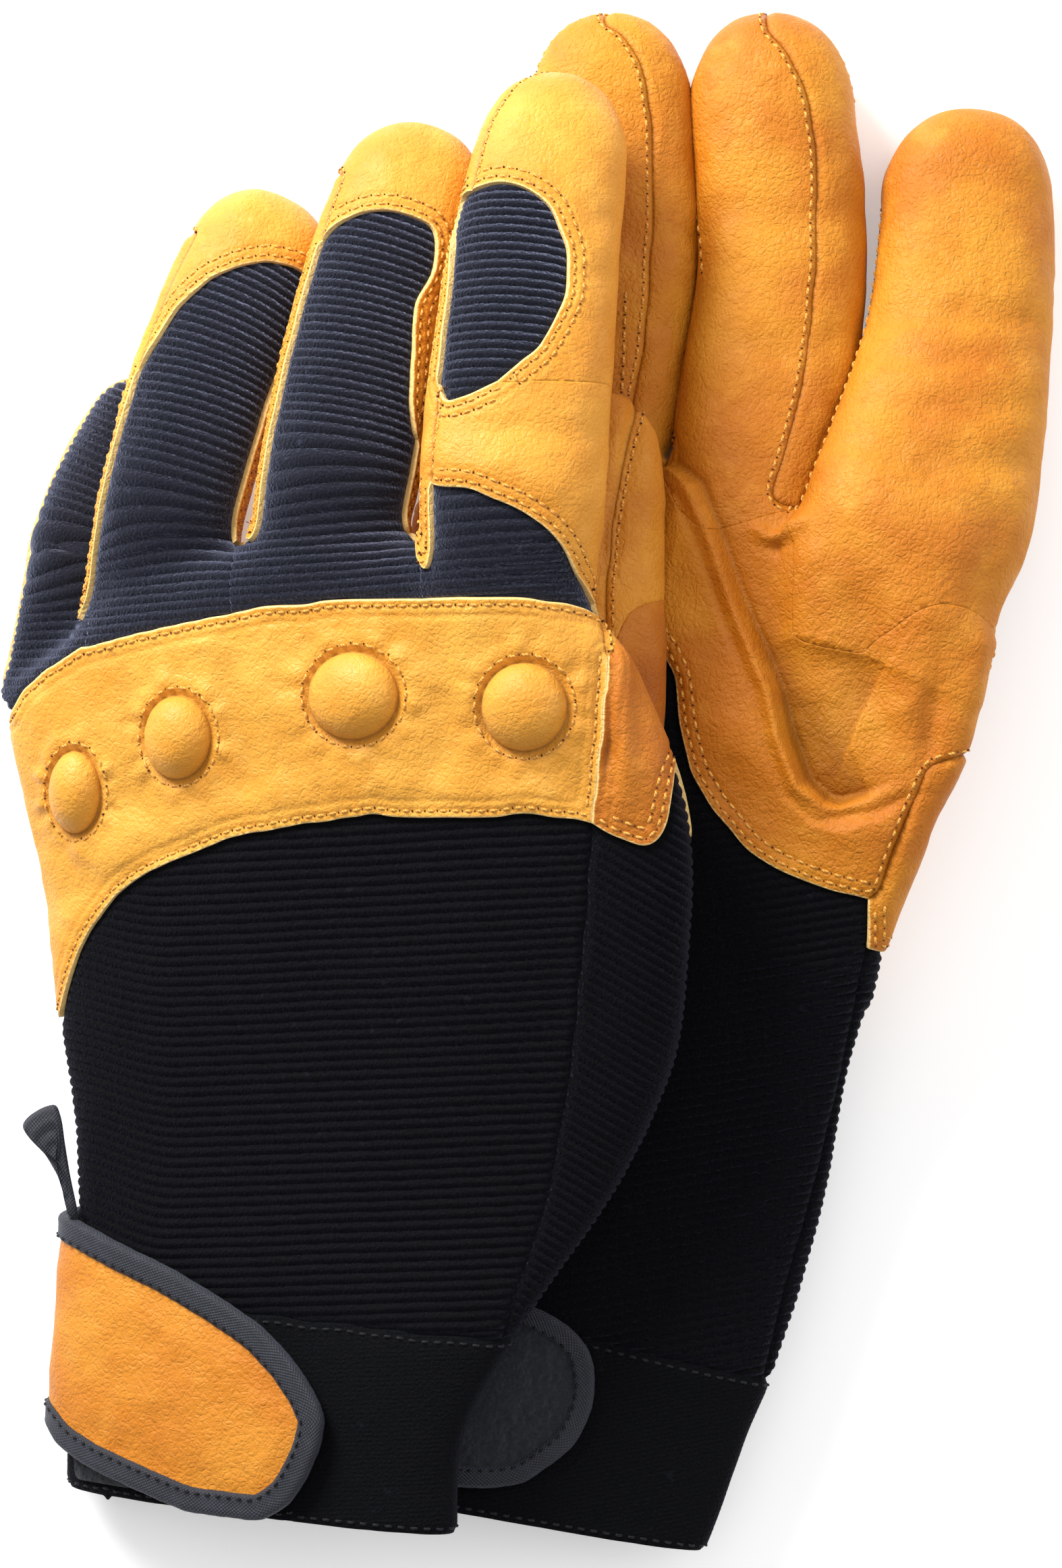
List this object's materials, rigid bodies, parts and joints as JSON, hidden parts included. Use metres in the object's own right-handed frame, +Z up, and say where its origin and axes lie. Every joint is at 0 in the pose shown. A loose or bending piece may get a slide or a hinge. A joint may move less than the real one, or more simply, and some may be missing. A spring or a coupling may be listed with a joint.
{
  "type": "pair of work gloves",
  "caption": "Pair of soft leather work gloves with ribbed stretch backs, padded knuckle bands and hook-and-loop wrist straps, one lying on the other.",
  "frame": {"origin": "on the table surface, under the middle of the pair", "axes": "+Z up from the table, +Y towards the fingertips, +X towards the right glove's index finger"},
  "size_m": [0.1846, 0.2743, 0.0565],
  "materials": {
    "leather_palm": "matte",
    "leather_back": "satin",
    "ribbed_fabric": "matte",
    "cuff_elastic": "matte",
    "binding_tape": "matte",
    "hook_and_loop": "matte"
  },
  "bodies": {
    "right_glove": {"right_palm": "leather_palm", "right_wrist_panel": "ribbed_fabric", "right_back_panel": "ribbed_fabric", "right_side_gusset": "ribbed_fabric", "right_side_strip": "leather_palm", "right_knuckle_band": "leather_back", "right_knuckle_pads": "leather_back", "right_thumb_patch": "leather_back", "right_thumb_front": "leather_palm", "right_thumb_back": "leather_palm", "right_ring_front": "leather_palm", "right_ring_back": "ribbed_fabric", "right_ring_fourchettes": "leather_palm", "right_pinky_front": "leather_palm", "right_pinky_back": "ribbed_fabric", "right_cuff": "cuff_elastic", "right_hook_patch": "hook_and_loop", "right_palm_pad": "hook_and_loop", "right_palm_pad_binding": "binding_tape", "right_pull_tab": "binding_tape"},
    "right_index_finger": {"right_index_front": "leather_palm", "right_index_back": "ribbed_fabric", "right_index_saddle": "leather_palm", "right_index_fourchette": "leather_palm"},
    "right_middle_finger": {"right_middle_front": "leather_palm", "right_middle_back": "ribbed_fabric", "right_middle_fourchettes": "leather_palm"},
    "right_strap": {"right_strap_face": "leather_back", "right_strap_backing": "hook_and_loop", "right_strap_binding": "binding_tape"},
    "left_glove": {"left_palm": "leather_palm", "left_wrist_panel": "ribbed_fabric", "left_back_panel": "ribbed_fabric", "left_side_gusset": "ribbed_fabric", "left_side_strip": "leather_palm", "left_knuckle_band": "leather_back", "left_knuckle_pads": "leather_back", "left_thumb_patch": "leather_back", "left_thumb_front": "leather_palm", "left_thumb_back": "leather_palm", "left_index_front": "leather_palm", "left_index_back": "ribbed_fabric", "left_index_saddle": "leather_palm", "left_index_fourchette": "leather_palm", "left_middle_front": "leather_palm", "left_middle_back": "ribbed_fabric", "left_middle_fourchettes": "leather_palm", "left_ring_front": "leather_palm", "left_ring_back": "ribbed_fabric", "left_ring_fourchettes": "leather_palm", "left_pinky_front": "leather_palm", "left_pinky_back": "ribbed_fabric", "left_cuff": "cuff_elastic", "left_hook_patch": "hook_and_loop", "left_palm_pad": "hook_and_loop", "left_palm_pad_binding": "binding_tape", "left_pull_tab": "binding_tape"},
    "left_strap": {"left_strap_face": "leather_back", "left_strap_backing": "hook_and_loop", "left_strap_binding": "binding_tape"}
  },
  "joints": [
    {"name": "left_glove_lift", "type": "slide", "parent": "right_glove", "child": "left_glove", "axis": [0, 0, 1], "range_m": [0, 0.12]},
    {"name": "left_strap_peel", "type": "hinge", "parent": "left_glove", "child": "left_strap", "pos_m": [-0.0834, -0.0969, 0.0088], "axis": [-0.068, -0.9971, -0.033], "range_deg": [0, 110]},
    {"name": "right_strap_peel", "type": "hinge", "parent": "right_glove", "child": "right_strap", "pos_m": [-0.0263, -0.0986, 0.00787], "axis": [0.332, 0.942, -0.05], "range_deg": [0, 100]},
    {"name": "right_index_flex", "type": "hinge", "parent": "right_glove", "child": "right_index_finger", "pos_m": [0.0669, 0.0453, 0.0354], "axis": [0.9513, -0.3081, 0], "range_deg": [0, 75]},
    {"name": "right_middle_flex", "type": "hinge", "parent": "right_glove", "child": "right_middle_finger", "pos_m": [0.0368, 0.0524, 0.0259], "axis": [0.973, -0.231, 0], "range_deg": [0, 75]}
  ]
}
